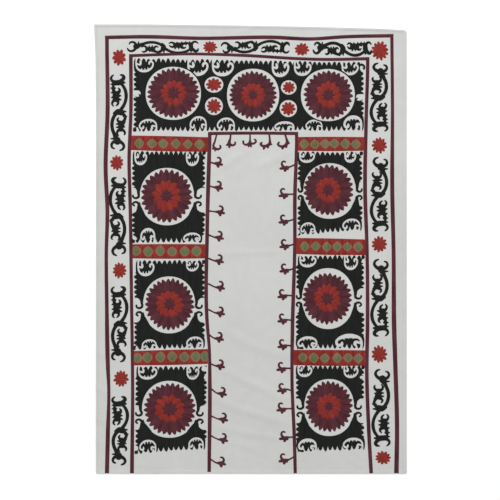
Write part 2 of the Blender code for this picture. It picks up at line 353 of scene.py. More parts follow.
# A head's strokes from its middle. The first carries the stem on
LEFT_HEAD = (
    ((-31, 4, 9), (-16, 2, 18), (-11, -11, 12)),
    ((-13, 2, 18), (6, -2, 11)),
    ((-9, 5, 15), (-1, 12, 12), (0, 21, 10), (-6, 29, 9), (-14, 30, 8)),
)
RIGHT_HEAD = (
    ((22, 4, 9), (7, 0, 18), (2, -12, 13)),
    ((8, 0, 16), (15, -5, 10)),
    ((0, 0, 17), (-19, -3, 11)),
    ((-4, 4, 14), (-11, 12, 11), (-13, 20, 10), (-9, 28, 9), (-1, 30, 8), (4, 27, 7)),
)
# The flowers under the top line, each as its strokes, with the stem first
TOP_FLOWERS = (
    (((-154, 527, 7), (-163, 494, 9), (-169, 471, 11), (-160, 461, 13), (-144, 460, 10), (-136, 468, 9),
      (-139, 476, 8)),
     ((-160, 462, 13), (-162, 452, 8)), ((-164, 463, 12), (-173, 461, 8))),
    (((-90, 527, 8), (-92, 508, 9), (-97, 489, 15), (-97, 480, 16)),
     ((-97, 484, 15), (-108, 478, 9)), ((-97, 482, 15), (-96, 468, 10)),
     ((-96, 482, 14), (-79, 477, 10), (-69, 484, 9), (-70, 491, 8))),
    (((-1, 527, 7), (-1, 500, 9), (-2, 486, 15)),
     ((-2, 486, 15), (-8, 471, 8)), ((-1, 486, 15), (4, 471, 8)),
     ((-4, 486, 14), (-19, 479, 10), (-32, 487, 9), (-32, 495, 10)),
     ((0, 486, 14), (15, 485, 10), (26, 494, 9), (24, 502, 8), (19, 504, 7))),
    (((87, 527, 8), (90, 500, 10), (89, 484, 15), (76, 475, 14), (55, 475, 12), (47, 483, 10), (53, 489, 9)),
     ((89, 484, 14), (98, 481, 8)), ((66, 472, 14), (62, 461, 10)), ((80, 475, 14), (81, 467, 10))),
    (((160, 527, 8), (166, 508, 10), (170, 489, 16), (157, 473, 14), (135, 474, 11), (127, 482, 10),
      (132, 490, 9)),
     ((170, 488, 15), (179, 487, 8)), ((164, 478, 15), (166, 469, 10)), ((152, 472, 14), (148, 462, 10))),
)

# Shapes of stitching. A later shape lies over the earlier ones, and thread None is bare cloth
Shape = namedtuple("Shape", "outline thread grain")
TOOTH_SAMPLES = (-1.0, -0.9, -0.7, -0.38, 0.0, 0.38, 0.7, 0.9)
POINT_WELD = 1e-3
RIM_INSET = 1.1
RIM_SPACING = 3.6
INNER_SPACING = 13.0
INNER_CLEARANCE = 4.5
RIM_SAMPLE = 0.7
SAME_PLACE = 0.9
SHORT_EDGE = 0.2
STITCH_ROOT = 0.0004


# The cloth as it lies


def between(points, along):
    """The inset at a place along an edge, in a straight line between its points."""
    for low, high in zip(points, points[1:]):
        if along <= high.along:
            share = (along - low.along) / (high.along - low.along)
            return low.inset + (high.inset - low.inset) * max(0.0, share)
    return points[-1].inset


def round_the_corner(cloth, x, y):
    """Moves a place of the rectangle in, near a corner, so that the corner becomes an arc."""
    radius = OPEN_CORNER
    if y > 0.0:
        radius = CLOSED_LEFT_CORNER if x < 0.0 else CLOSED_RIGHT_CORNER
    past_x = (abs(x) - (cloth.width / 2 - radius)) / radius
    past_y = (abs(y) - (cloth.length / 2 - radius)) / radius
    if past_x <= 0.0 or past_y <= 0.0:
        return x, y
    new_x = abs(x) - radius * past_x * (1.0 - math.sqrt(max(0.0, 1.0 - past_y**2 / 2)))
    new_y = abs(y) - radius * past_y * (1.0 - math.sqrt(max(0.0, 1.0 - past_x**2 / 2)))
    return math.copysign(new_x, x), math.copysign(new_y, y)


def to_outline(cloth, x, y):
    """Carries a place of the rectangle to where it lies in the uneven cloth."""
    x, y = round_the_corner(cloth, x, y)
    left = between(LEFT_EDGE, y) * (0.5 - x / cloth.width)
    down = between(CLOSED_EDGE, x) * (0.5 + y / cloth.length)
    return x + left, y - down


def fold_height(fold, x, y):
    """How high one fold lifts the cloth at a place."""
    run_x = fold.x1 - fold.x0
    run_y = fold.y1 - fold.y0
    squared = run_x**2 + run_y**2
    along = ((x - fold.x0) * run_x + (y - fold.y0) * run_y) / squared
    if not 0.0 < along < 1.0:
        return 0.0
    aside = ((y - fold.y0) * run_x - (x - fold.x0) * run_y) / math.sqrt(squared)
    aside -= 4.0 * fold.bow * along * (1.0 - along)
    if abs(aside) >= fold.half_width:
        return 0.0
    side = 1.0 - (aside / fold.half_width) ** 2
    return fold.height * side**2 * 4.0 * along * (1.0 - along)


def pucker(x, y):
    """The slight, general unevenness of a cloth that stitching has drawn up."""
    wave = math.sin(37.0 * x + 2.1 * math.sin(9.0 * y)) + math.sin(31.0 * y + 1.7 * math.sin(11.0 * x))
    ripple = math.sin(58.0 * (x + 0.45 * y)) + math.sin(66.0 * (y - 0.38 * x) + 1.3)
    return 0.00009 * (2.0 + wave) + 0.00005 * (2.0 + ripple)


def sheet_height(x, y):
    """How high the cloth's underside stands over the floor."""
    return max(fold_height(fold, x, y) for fold in FOLDS) + pucker(x, y)


def hem_share(cloth, x, y):
    """1 on the turned hem, 0 on the single cloth, and between them on the slope at its edge."""
    inside = min(
        x + cloth.width / 2 - cloth.other_hem,
        cloth.width / 2 - cloth.right_hem - x,
        cloth.length / 2 - cloth.other_hem - abs(y),
    )
    return min(1.0, max(0.0, 1.0 - inside / HEM_SLOPE))


def cloth_thickness(cloth, x, y):
    return cloth.thickness + (cloth.hem_thickness - cloth.thickness) * hem_share(cloth, x, y)


# Outlines


def smooth(points, closed, step):
    """Points on a smooth curve through the given ones, about step apart."""
    count = len(points)
    spans = count if closed else count - 1
    ends = [(points[i], points[(i + 1) % count]) for i in range(spans)]
    chords = [max(math.dist(start[:2], end[:2]), 1e-6) for start, end in ends]
    rates = [[(b - a) / chord for a, b in zip(*pair)] for pair, chord in zip(ends, chords)]

    def rate_at(i):
        """How fast the curve changes at a point: between the rates of the chords beside it."""
        if not closed and i in (0, count - 1):
            return rates[0] if i == 0 else rates[-1]
        back = chords[(i - 1) % spans]
        ahead = chords[i % spans]
        pairs = zip(rates[(i - 1) % spans], rates[i % spans])
        return [(before * ahead + after * back) / (back + ahead) for before, after in pairs]

    result = []
    for i in range(spans):
        pieces = max(1, round(chords[i] / step))
        for k in range(pieces):
            t = k / pieces
            rise = 3 * t**2 - 2 * t**3
            first = chords[i] * (t - 2 * t**2 + t**3)
            last = chords[i] * (t**3 - t**2)
            values = zip(*ends[i], rate_at(i), rate_at(i + 1))
            result.append(tuple(a + (b - a) * rise + m * first + n * last for a, b, m, n in values))
    if not closed:
        result.append(tuple(points[-1]))
    return result


def half_round(x, y, radius, heading):
    """Points on the half circle that ends a stroke, from its right side round to its left."""
    count = max(2, round(radius / 1.1))
    turns = [heading - math.pi / 2 + math.pi * k / count for k in range(1, count)]
    return [(x + radius * math.cos(turn), y + radius * math.sin(turn)) for turn in turns]


def stroke(stations, step=4.0, blunt=False):
    """The outline of a stroke through stations (x, y, width), with round or blunt ends."""
    line = smooth(stations, False, step)
    left = []
    right = []
    headings = []
    for i, (x, y, width) in enumerate(line):
        before = line[max(0, i - 1)]
        after = line[min(len(line) - 1, i + 1)]
        heading = math.atan2(after[1] - before[1], after[0] - before[0])
        headings.append(heading)
        out_x = math.sin(heading) * width / 2
        out_y = -math.cos(heading) * width / 2
        right.append((x + out_x, y + out_y))
        left.append((x - out_x, y - out_y))
    left.reverse()
    if blunt:
        return right + left
    end = half_round(line[-1][0], line[-1][1], line[-1][2] / 2, headings[-1])
    start = half_round(line[0][0], line[0][1], line[0][2] / 2, headings[0] + math.pi)
    return right + end + left + start


def ellipse(x, y, half_width, half_height, step=4.0, squareness=2.0):
    """A round outline, nearer to a rectangle for a higher squareness and a diamond for a lower."""
    count = max(12, round(math.pi * (half_width + half_height) / step))
    outline = []
    for k in range(count):
        turn = 2 * math.pi * k / count
        across = math.copysign(abs(math.cos(turn)) ** (2 / squareness), math.cos(turn))
        up = math.copysign(abs(math.sin(turn)) ** (2 / squareness), math.sin(turn))
        outline.append((x + half_width * across, y + half_height * up))
    return outline


def lobed(x, y, half_width, half_height, dip, points, rng, bluntness, uneven):
    """A star or toothed round: its points reach the half sizes, and fall to dip times them between."""
    turn0 = rng.uniform(0.0, 2 * math.pi)
    outline = []
    for k in range(points):
        reach = 1.0 + uneven * rng.uniform(-1.0, 0.35)
        lean = rng.uniform(-0.12, 0.12)
        for t in TOOTH_SAMPLES:
            rise = (1.0 - abs(t) ** bluntness) * (reach - dip)
            turn = turn0 + 2 * math.pi * (k + 0.5 + 0.5 * t + lean * (1.0 - abs(t))) / points
            radius = dip + rise
            out_x = half_width * radius * math.cos(turn)
            out_y = half_height * radius * math.sin(turn)
            outline.append((x + out_x, y + out_y))
    return outline


def toothed_side(start, end, pitch, depth, rng):
    """A toothed edge from start to end along the teeth's roots, with the teeth on its right."""
    run_x = end[0] - start[0]
    run_y = end[1] - start[1]
    length = math.hypot(run_x, run_y)
    count = max(1, round(length / pitch))
    outline = []
    for k in range(count):
        reach = depth * rng.uniform(0.80, 1.08)
        lean = rng.uniform(-0.14, 0.14)
        for t in TOOTH_SAMPLES:
            along = (k + 0.5 + 0.5 * t + lean * (1.0 - abs(t))) / count
            out = reach * (1.0 - abs(t) ** 2.1) / length
            outline.append((start[0] + run_x * along + run_y * out, start[1] + run_y * along - run_x * out))
    return outline


def toothed_field(corners, depths, pitches, rng):
    """A four-cornered field whose teeth's tips reach the corners' lines.

    The corners run from the lower left one to the right, and the sides with them, from the lowest.
    """
    (x0, y0), (x1, y1), (x2, y2), (x3, y3) = corners
    low, right, high, left = depths
    roots = [(x0 + left, y0 + low), (x1 - right, y1 + low), (x2 - right, y2 - high), (x3 + left, y3 - high)]
    outline = []
    for i, ((tip_x, tip_y), (root_x, root_y)) in enumerate(zip(corners, roots)):
        lobe = [(tip_x, (tip_y + 4 * root_y) / 5), (tip_x, tip_y), ((tip_x + 4 * root_x) / 5, tip_y)]
        lobe = [(root_x, root_y)] + (lobe if i % 2 == 0 else lobe[::-1]) + [(root_x, root_y)]
        outline += smooth(lobe, False, 4.0)[1:-1]
        outline += toothed_side(roots[i], roots[(i + 1) % 4], pitches[i], depths[i], rng)
    return outline


# Which way the threads run: along the thread and across it, in millimetres


def grain_up(x, y, near):
    return y, x


def grain_across(x, y, near):
    return x, y


def grain_round(middle_x, middle_y, spread):
    """Threads that run outwards from a middle, spread apart as they are at that distance from it."""

    def radial(x, y, near):
        turn = math.atan2(y - middle_y, x - middle_x)
        near_turn = math.atan2(near[1] - middle_y, near[0] - middle_x)
        turn += 2 * math.pi * round((near_turn - turn) / (2 * math.pi))
        return math.hypot(x - middle_x, y - middle_y), turn * spread

    return radial


# Stitching made solid


def is_inside(outline, x, y):
    """Whether an outline that may cross itself goes round a place."""
    turns = 0
    ax, ay = outline[-1]
    for bx, by in outline:
        if (ay <= y) != (by <= y):
            side = (bx - ax) * (y - ay) - (x - ax) * (by - ay)
            if by > ay and side > 0:
                turns += 1
            elif by < ay and side < 0:
                turns -= 1
        ax, ay = bx, by
    return turns != 0


class Pattern:
    """Shapes that lie over each other, cut into triangles that each belong to one shape."""

    def __init__(self, shapes, extra):
        self.shapes = shapes
        self.boxes = []
        corners = []
        edges = []
        for shape in shapes:
            xs = [x for x, y in shape.outline]
            ys = [y for x, y in shape.outline]
            self.boxes.append((min(xs), max(xs), min(ys), max(ys)))
            first = len(corners)
            count = len(shape.outline)
            corners.extend(shape.outline)
            edges.extend((first + i, first + (i + 1) % count) for i in range(count))
        corners.extend(extra)
        cut = delaunay_2d_cdt([Vector(corner) for corner in corners], edges, [], 0, POINT_WELD)
        self.places = [(place.x, place.y) for place in cut[0]]
        self.faces = [tuple(face) for face in cut[2]]
        self.fixed = {(min(edge), max(edge)) for edge, source in zip(cut[1], cut[4]) if source}
        self.sides = {}
        for index, face in enumerate(self.faces):
            for edge in self.edges_of(face):
                self.sides.setdefault(edge, []).append(index)
        self.owners = self.find_owners()

    def edges_of(self, face):
        return [(min(a, b), max(a, b)) for a, b in zip(face, face[1:] + face[:1])]

    def middle_of(self, face):
        points = [self.places[i] for i in face]
        return sum(p[0] for p in points) / 3, sum(p[1] for p in points) / 3

    def size_of(self, face):
        (ax, ay), (bx, by), (cx, cy) = (self.places[i] for i in face)
        return abs((bx - ax) * (cy - ay) - (cx - ax) * (by - ay))

    def uppermost(self, x, y):
        """The last shape that covers a place, or None."""
        for shape, (x0, x1, y0, y1) in zip(reversed(self.shapes), reversed(self.boxes)):
            if x0 <= x <= x1 and y0 <= y <= y1 and is_inside(shape.outline, x, y):
                return shape
        return None

    def find_owners(self):
        """The shape that each triangle belongs to, found once for each patch between outlines."""
        owners = [None] * len(self.faces)
        seen = [False] * len(self.faces)
        for start in range(len(self.faces)):
            if seen[start]:
                continue
            seen[start] = True
            patch = [start]
            for index in patch:
                for edge in self.edges_of(self.faces[index]):
                    if edge in self.fixed:
                        continue
                    for other in self.sides[edge]:
                        if not seen[other]:
                            seen[other] = True
                            patch.append(other)
            largest = max(patch, key=lambda index: self.size_of(self.faces[index]))
            owner = self.uppermost(*self.middle_of(self.faces[largest]))
            for index in patch:
                owners[index] = owner
        return owners

    def thread_of(self, index):
        owner = self.owners[index]
        return owner.thread if owner else None

    def rims(self):
        """The edges between different threads, or thread and bare cloth, with the faces beside them."""
        for edge, beside in self.sides.items():
            threads = {self.thread_of(index) for index in beside}
            if len(beside) == 1:
                threads.add(None)
            if len(threads) > 1:
                yield edge, [index for index in beside if self.thread_of(index)]


def samples_of(pattern):
    """A tree of places close together along all the rims."""
    places = []
    for (a, b), _ in pattern.rims():
        (ax, ay), (bx, by) = pattern.places[a], pattern.places[b]
        count = max(1, math.ceil(math.dist((ax, ay), (bx, by)) / RIM_SAMPLE))
        for k in range(count + 1):
            places.append((ax + (bx - ax) * k / count, ay + (by - ay) * k / count, 0.0))
    tree = KDTree(len(places))
    for index, place in enumerate(places):
        tree.insert(place, index)
    tree.balance()
    return tree


def places_inside(pattern, rim_tree):
    """Places just inside the rims, for a rounded edge, and wide apart over the rest."""
    kept = {}

    def keep(x, y):
        cell = (round(x / SAME_PLACE), round(y / SAME_PLACE))
        if cell not in kept:
            kept[cell] = (x, y)

    for (a, b), beside in pattern.rims():
        (ax, ay), (bx, by) = pattern.places[a], pattern.places[b]
        length = math.dist((ax, ay), (bx, by))
        if length < SHORT_EDGE:
            continue
        out_x = (by - ay) / length
        out_y = (ax - bx) / length
        for index in beside:
            mid_x, mid_y = pattern.middle_of(pattern.faces[index])
            way = math.copysign(RIM_INSET, (mid_x - ax) * out_x + (mid_y - ay) * out_y)
            count = max(1, round(length / RIM_SPACING))
            for k in range(count):
                share = (k + 0.5) / count
                x = ax + (bx - ax) * share + out_x * way
                y = ay + (by - ay) * share + out_y * way
                if rim_tree.find((x, y, 0.0))[2] > 0.9 * RIM_INSET:
                    keep(x, y)
    x0 = min(box[0] for box in pattern.boxes)
    x1 = max(box[1] for box in pattern.boxes)
    y0 = min(box[2] for box in pattern.boxes)
    y1 = max(box[3] for box in pattern.boxes)
    for row in range(int((y1 - y0) / INNER_SPACING) + 1):
        for column in range(int((x1 - x0) / INNER_SPACING) + 1):
            x = x0 + (column + 0.5 * (row % 2)) * INNER_SPACING
            y = y0 + row * INNER_SPACING
            owner = pattern.uppermost(x, y)
            if owner and owner.thread and rim_tree.find((x, y, 0.0))[2] > INNER_CLEARANCE:
                keep(x, y)
    return list(kept.values())


class Solid:
    """The corners, faces and thread directions of one piece of stitching."""

    def __init__(self):
        self.corners = []
        self.faces = []
        self.grain = []

    def corner(self, x, y, z):
        self.corners.append((x * MM, y * MM, z))
        return len(self.corners) - 1

    def face(self, corners, grain):
        self.faces.append(corners)
        self.grain += grain


def add_stitching(shapes, thread, solid, scene, cache):
    """Adds the shapes' patches of one thread to a solid: a rounded top, sides and an underside."""
    cloth = scene.sheet_cloth
    threads = scene.sheet_threads
    if not cache:
        coarse = Pattern(shapes, [])
        rim_tree = samples_of(coarse)
        fine = Pattern(shapes, places_inside(coarse, rim_tree))
        finder = KDTree(len(fine.places))
        for index, place in enumerate(fine.places):
            finder.insert((*place, 0.0), index)
        finder.balance()
        same = [finder.find((*place, 0.0))[1] for place in coarse.places]
        cache.extend([coarse, fine, rim_tree, same])
    coarse, fine, rim_tree, same = cache
    tops = {}
    feet = {}

    def top(index):
        if index not in tops:
            x, y = fine.places[index]
            away = rim_tree.find((x, y, 0.0))[2]
            share = min(1.0, away / RIM_INSET)
            bare = sheet_height(x * MM, y * MM) + cloth_thickness(cloth, x * MM, y * MM)
            tops[index] = solid.corner(x, y, bare + threads.rim + (threads.crown - threads.rim) * share)
        return tops[index]

    def foot(index):
        if index not in feet:
            x, y = fine.places[index]
            feet[index] = solid.corner(x, y, sheet_height(x * MM, y * MM) + STITCH_ROOT)
        return feet[index]

    for index, face in enumerate(fine.faces):
        if fine.thread_of(index) != thread:
            continue
        grain = fine.owners[index].grain
        middle = fine.middle_of(face)
        along = [grain(*fine.places[i], middle) for i in face]
        solid.face([top(i) for i in face], along)
        following = face[1:] + face[:1]
        for a, b, from_a, from_b in zip(face, following, along, along[1:] + along[:1]):
            beside = fine.sides[(min(a, b), max(a, b))]
            if all(fine.thread_of(other) == thread for other in beside) and len(beside) == 2:
                continue
            solid.face([top(b), top(a), foot(a), foot(b)], [from_b, from_a, from_a, from_b])
    for index, face in enumerate(coarse.faces):
        if coarse.thread_of(index) != thread:
            continue
        corners = [same[i] for i in reversed(face)]
        if len(set(corners)) == 3:
            solid.face([foot(i) for i in corners], [fine.places[i] for i in corners])


def select_only(piece):
    bpy.ops.object.select_all(action="DESELECT")
    piece.select_set(True)
    bpy.context.view_layer.objects.active = piece


def new_piece(scene, name, mesh):
    piece = bpy.data.objects.new(name, mesh)
    scene.collection.objects.link(piece)
    select_only(piece)
    return piece


def stitch(scene, groups, pieces):
    """Works groups of shapes as raised stitching, one piece for each thread: {thread: name}."""
    caches = [[] for _ in groups]
    for thread, name in pieces.items():
        solid = Solid()
        for shapes, cache in zip(groups, caches):
            add_stitching(shapes, thread, solid, scene, cache)
        mesh = bpy.data.meshes.new(name)
        mesh.from_pydata(solid.corners, [], solid.faces)
        layer = mesh.uv_layers.new(name="thread")
        layer.data.foreach_set("uv", [value * MM for pair in solid.grain for value in pair])
        piece = new_piece(scene, name, mesh)
        bpy.ops.object.shade_smooth_by_angle(angle=math.radians(50))
        mesh.materials.append(thread_material(scene, thread))
        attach(piece, "root")


# Materials

# The cotton's weave and the line of stitches that holds its hem, with painted shade of the hem's groove along
# it, in metres
WEAVE_PITCH = 0.0009
WEAVE_RELIEF = 0.0003
HEM_STITCH_AND_SHADE_WIDTH = 0.0022
HEM_STITCH_PITCH = 0.009
HEM_STITCH_SHARE = 0.62

# The silk: which tones go from its dark to its light, partly as painted sheen, and how much darker a holding
# stitch is, as painted shade
TONE_LOW = 0.38
TONE_HIGH = 0.62
HOLD_SHARE = 0.16
HOLD_SHADE = 0.45


def add_node(tree, kind, inputs=None, **settings):
    """Adds a node with its settings, and links or sets its inputs."""
    node = tree.nodes.new(kind)
    for name, value in settings.items():
        setattr(node, name, value)
    for name, value in (inputs or {}).items():
        if isinstance(value, bpy.types.NodeSocket):
            tree.links.new(value, node.inputs[name])
        else:
            node.inputs[name].default_value = value
    return node


def calculate(tree, operation, *values, clamp=False):
    """A Math node's result."""
    node = add_node(tree, "ShaderNodeMath", dict(enumerate(values)), operation=operation, use_clamp=clamp)
    return node.outputs[0]


def noise(tree, place, scale, detail, roughness=0.5):
    """A Noise node's value, about 0.5."""
    inputs = {"Vector": place, "Scale": scale, "Detail": detail, "Roughness": roughness}
    return add_node(tree, "ShaderNodeTexNoise", inputs).outputs["Fac"]


def stretch(tree, place, across, up):
    """A place scaled by two amounts."""
    inputs = {"Vector": place, "Scale": (across, up, 1.0)}
    return add_node(tree, "ShaderNodeMapping", inputs, vector_type="POINT").outputs[0]


def weighted(tree, *pairs):
    """The sum of values times their weights."""
    total = None
    for value, weight in pairs:
        part = calculate(tree, "MULTIPLY", value, weight)
        total = part if total is None else calculate(tree, "ADD", total, part)
    return total


def new_group(name, inputs, outputs):
    """A shader node group with its sockets. Returns it, its inputs and its output node."""
    group = bpy.data.node_groups.new(name, "ShaderNodeTree")
    for socket, kind in inputs:
        group.interface.new_socket(name=socket, in_out="INPUT", socket_type=kind)
    for socket in outputs:
        group.interface.new_socket(name=socket, in_out="OUTPUT", socket_type="NodeSocketFloat")
    return group, group.nodes.new("NodeGroupInput").outputs, group.nodes.new("NodeGroupOutput").inputs


def laid_stitch_group():
    """Long laid threads, side by side, held down by short crossing stitches.

    Place is along the thread and across it in metres. Tone varies from thread to thread, and part of it is
    painted sheen: lighter and darker streaks and wedges for threads laid in different directions.
    """
    name = "laid_stitch"
    if name in bpy.data.node_groups:
        return bpy.data.node_groups[name]
    inputs = [("Place", "NodeSocketVector"), ("Strand", "NodeSocketFloat"), ("Couching", "NodeSocketFloat")]
    tree, given, result = new_group(name, inputs, ["Height", "Tone", "Hold"])
    place = given["Place"]
    apart = add_node(tree, "ShaderNodeSeparateXYZ", {0: place}).outputs
    wobble = calculate(tree, "MULTIPLY", noise(tree, place, 22.0, 2.0), 0.004)
    across = calculate(tree, "ADD", apart["Y"], wobble)
    strand_turn = calculate(tree, "MULTIPLY", calculate(tree, "DIVIDE", across, given["Strand"]), math.pi)
    ridge = calculate(tree, "ABSOLUTE", calculate(tree, "SINE", strand_turn))
    three = calculate(tree, "MULTIPLY", given["Strand"], 3.0)
    row = calculate(tree, "FLOOR", calculate(tree, "DIVIDE", across, three))
    shifted = calculate(tree, "ADD", apart["X"], calculate(tree, "MULTIPLY", row, 0.0031))
    slanted = calculate(tree, "ADD", shifted, calculate(tree, "MULTIPLY", across, 0.8))
    beat = calculate(tree, "FRACT", calculate(tree, "DIVIDE", slanted, given["Couching"]))
    off_beat = calculate(tree, "ABSOLUTE", calculate(tree, "SUBTRACT", beat, 0.5))
    hold = calculate(tree, "SUBTRACT", 1.0, calculate(tree, "MULTIPLY", off_beat, 9.0), clamp=True)
    fine = noise(tree, stretch(tree, place, 24.0, 700.0), 1.0, 2.0)
    streak = noise(tree, stretch(tree, place, 14.0, 190.0), 1.0, 2.0, 0.6)
    # The broad streaks, which become wedges where the threads run outwards, are partly painted sheen of
    # threads laid in different directions
    broad = noise(tree, stretch(tree, place, 9.0, 45.0), 1.0, 1.0)
    tone = weighted(tree, (fine, 0.30), (streak, 0.50), (broad, 0.34))
    tree.links.new(weighted(tree, (ridge, 0.55), (hold, 0.35), (fine, 0.3)), result["Height"])
    tree.links.new(calculate(tree, "SUBTRACT", tone, 0.07), result["Tone"])
    tree.links.new(hold, result["Hold"])
    return tree


def plain_weave_group():
    """A plain weave of uneven hand-spun threads. Place is across and along the cloth in metres."""
    name = "plain_weave"
    if name in bpy.data.node_groups:
        return bpy.data.node_groups[name]
    inputs = [("Place", "NodeSocketVector"), ("Pitch", "NodeSocketFloat")]
    tree, given, result = new_group(name, inputs, ["Height", "Slub", "Cloud"])
    place = given["Place"]
    apart = add_node(tree, "ShaderNodeSeparateXYZ", {0: place}).outputs
    waves = []
    for axis in ("X", "Y"):
        turn = calculate(tree, "MULTIPLY", calculate(tree, "DIVIDE", apart[axis], given["Pitch"]), math.pi)
        waves.append(calculate(tree, "SINE", turn))
    over = calculate(tree, "MULTIPLY", *waves)
    weft = noise(tree, stretch(tree, place, 11.0, 420.0), 1.0, 2.0)
    warp = noise(tree, stretch(tree, place, 420.0, 11.0), 1.0, 2.0)
    slub = weighted(tree, (weft, 0.55), (warp, 0.45))
    cloud = weighted(tree, (noise(tree, place, 3.2, 3.0), 0.6), (noise(tree, place, 22.0, 3.0), 0.4))
    tree.links.new(weighted(tree, (over, 0.35), (slub, 0.8)), result["Height"])
    tree.links.new(slub, result["Slub"])
    tree.links.new(cloud, result["Cloud"])
    return tree


def new_material(name):
    material = bpy.data.materials.new(name)
    material.use_nodes = True
    tree = material.node_tree
    return material, tree, tree.nodes["Principled BSDF"]


def mix_colours(tree, share, first, second):
    """The Mix node that goes from one colour to another."""
    node = tree.nodes.new("ShaderNodeMix")
    node.data_type = "RGBA"
    for index, value in ((0, share), (6, first), (7, second)):
        if isinstance(value, bpy.types.NodeSocket):
            tree.links.new(value, node.inputs[index])
        else:
            node.inputs[index].default_value = value
    return node.outputs[2]


def scaled(colour, factor, warmth=0.0):
    """A lighter, darker or warmer version of a colour."""
    red, green, blue, _ = colour
    return (red * factor * (1.0 + warmth), green * factor, blue * factor * (1.0 - warmth), 1.0)


ThreadLook = namedtuple("ThreadLook", "strand couching dark light warmth roughness relief")
THREAD_LOOKS = {
    "black": ThreadLook(0.0014, 0.0075, 0.72, 1.35, 0.03, 0.62, 0.0004),
    "maroon": ThreadLook(0.0014, 0.0080, 0.62, 1.45, 0.05, 0.55, 0.0005),
    "red": ThreadLook(0.0014, 0.0080, 0.58, 1.28, 0.03, 0.55, 0.0005),
    "green": ThreadLook(0.0013, 0.0070, 0.75, 1.28, 0.05, 0.58, 0.0004),
    "tan": ThreadLook(0.0013, 0.0070, 0.80, 1.20, 0.03, 0.60, 0.0004),
}


def thread_material(scene, thread):
    """Silk thread of one dye, streaked from strand to strand and partly with painted sheen, and darker at its
    holding stitches as painted shade.
    """
    name = thread + "_thread_laid"
    if name in bpy.data.materials:
        return bpy.data.materials[name]
    look = THREAD_LOOKS[thread]
    colour = tuple(getattr(scene.sheet_threads, thread))
    material, tree, shader = new_material(name)
    place = add_node(tree, "ShaderNodeUVMap", uv_map="thread").outputs["UV"]
    group = tree.nodes.new("ShaderNodeGroup")
    group.node_tree = laid_stitch_group()
    tree.links.new(place, group.inputs["Place"])
    group.inputs["Strand"].default_value = look.strand
    group.inputs["Couching"].default_value = look.couching
    tones = {"Value": group.outputs["Tone"], "From Min": TONE_LOW, "From Max": TONE_HIGH}
    spread = add_node(tree, "ShaderNodeMapRange", tones).outputs["Result"]
    dark = scaled(colour, look.dark, look.warmth)
    light = scaled(colour, look.light, -look.warmth)
    # Painted sheen: the streaks from dark to light stand partly for the sheen of threads laid in different
    # directions
    streaks_and_painted_sheen = mix_colours(tree, spread, dark, light)
    # Painted shade: the colour is darkened along the holding stitches, where they pinch the laid threads down
    shade = calculate(tree, "MULTIPLY", group.outputs["Hold"], HOLD_SHARE)
    held = mix_colours(tree, shade, streaks_and_painted_sheen, scaled(colour, HOLD_SHADE))
    tree.links.new(held, shader.inputs["Base Color"])
    rough = calculate(tree, "MULTIPLY_ADD", spread, -0.12, look.roughness + 0.06)
    tree.links.new(rough, shader.inputs["Roughness"])
    shader.inputs["Specular IOR Level"].default_value = 0.08
    raised = {"Strength": 0.55, "Distance": look.relief, "Height": group.outputs["Height"]}
    bump = add_node(tree, "ShaderNodeBump", raised)
    tree.links.new(bump.outputs["Normal"], shader.inputs["Normal"])
    return material


def cotton_material(cloth):
    """Hand-woven cotton: slubs, soft clouds of dulled cloth, and the hem's line of stitches, darkened as
    painted shade of its groove.
    """
    material, tree, shader = new_material("cotton_plain_weave")
    place = add_node(tree, "ShaderNodeUVMap", uv_map="flat").outputs["UV"]
    group = tree.nodes.new("ShaderNodeGroup")
    group.node_tree = plain_weave_group()
    tree.links.new(place, group.inputs["Place"])
    group.inputs["Pitch"].default_value = WEAVE_PITCH
    tone = weighted(tree, (group.outputs["Cloud"], 1.6), (group.outputs["Slub"], 1.1))
    share = calculate(tree, "SUBTRACT", tone, 0.85, clamp=True)
    cotton = mix_colours(tree, share, tuple(cloth.dark), tuple(cloth.light))
    hem = hem_stitches_and_groove_shade(tree, place, cloth)
    # Painted shade: the hem's line is darkened for the shade in its groove as well as for its stitches
    sewn_and_shaded = mix_colours(tree, calculate(tree, "MULTIPLY", hem, 0.30), cotton, scaled(cloth.dark, 0.55))
    tree.links.new(sewn_and_shaded, shader.inputs["Base Color"])
    rough = calculate(tree, "MULTIPLY_ADD", group.outputs["Slub"], 0.10, 0.83)
    tree.links.new(rough, shader.inputs["Roughness"])
    shader.inputs["Specular IOR Level"].default_value = 0.15
    height = calculate(tree, "SUBTRACT", group.outputs["Height"], hem)
    bump = add_node(tree, "ShaderNodeBump", {"Strength": 0.6, "Distance": WEAVE_RELIEF, "Height": height})
    tree.links.new(bump.outputs["Normal"], shader.inputs["Normal"])
    return material


def hem_stitches_and_groove_shade(tree, place, cloth):
    """1 on the short stitches that hold the hem down, 0.4 between them along the hem's line as painted shade
    of its groove, and fading to 0 away from that line.
    """
    apart = add_node(tree, "ShaderNodeSeparateXYZ", {0: place}).outputs
    to_right = calculate(tree, "SUBTRACT", apart["X"], cloth.width / 2 - cloth.right_hem)
    to_left = calculate(tree, "ADD", apart["X"], cloth.width / 2 - cloth.other_hem)
    from_middle = calculate(tree, "ABSOLUTE", apart["Y"])
    to_end = calculate(tree, "SUBTRACT", from_middle, cloth.length / 2 - cloth.other_hem)
    away = [calculate(tree, "ABSOLUTE", distance) for distance in (to_right, to_left, to_end)]
    nearest = calculate(tree, "MINIMUM", calculate(tree, "MINIMUM", away[0], away[1]), away[2])
    off_line = calculate(tree, "DIVIDE", nearest, HEM_STITCH_AND_SHADE_WIDTH)
    line = calculate(tree, "SUBTRACT", 1.0, off_line, clamp=True)
    along = calculate(tree, "ADD", apart["X"], apart["Y"])
    beat = calculate(tree, "FRACT", calculate(tree, "DIVIDE", along, HEM_STITCH_PITCH))
    dash = calculate(tree, "LESS_THAN", beat, HEM_STITCH_SHARE)
    return calculate(tree, "MULTIPLY", line, calculate(tree, "MULTIPLY_ADD", dash, 0.6, 0.4))


# The pieces


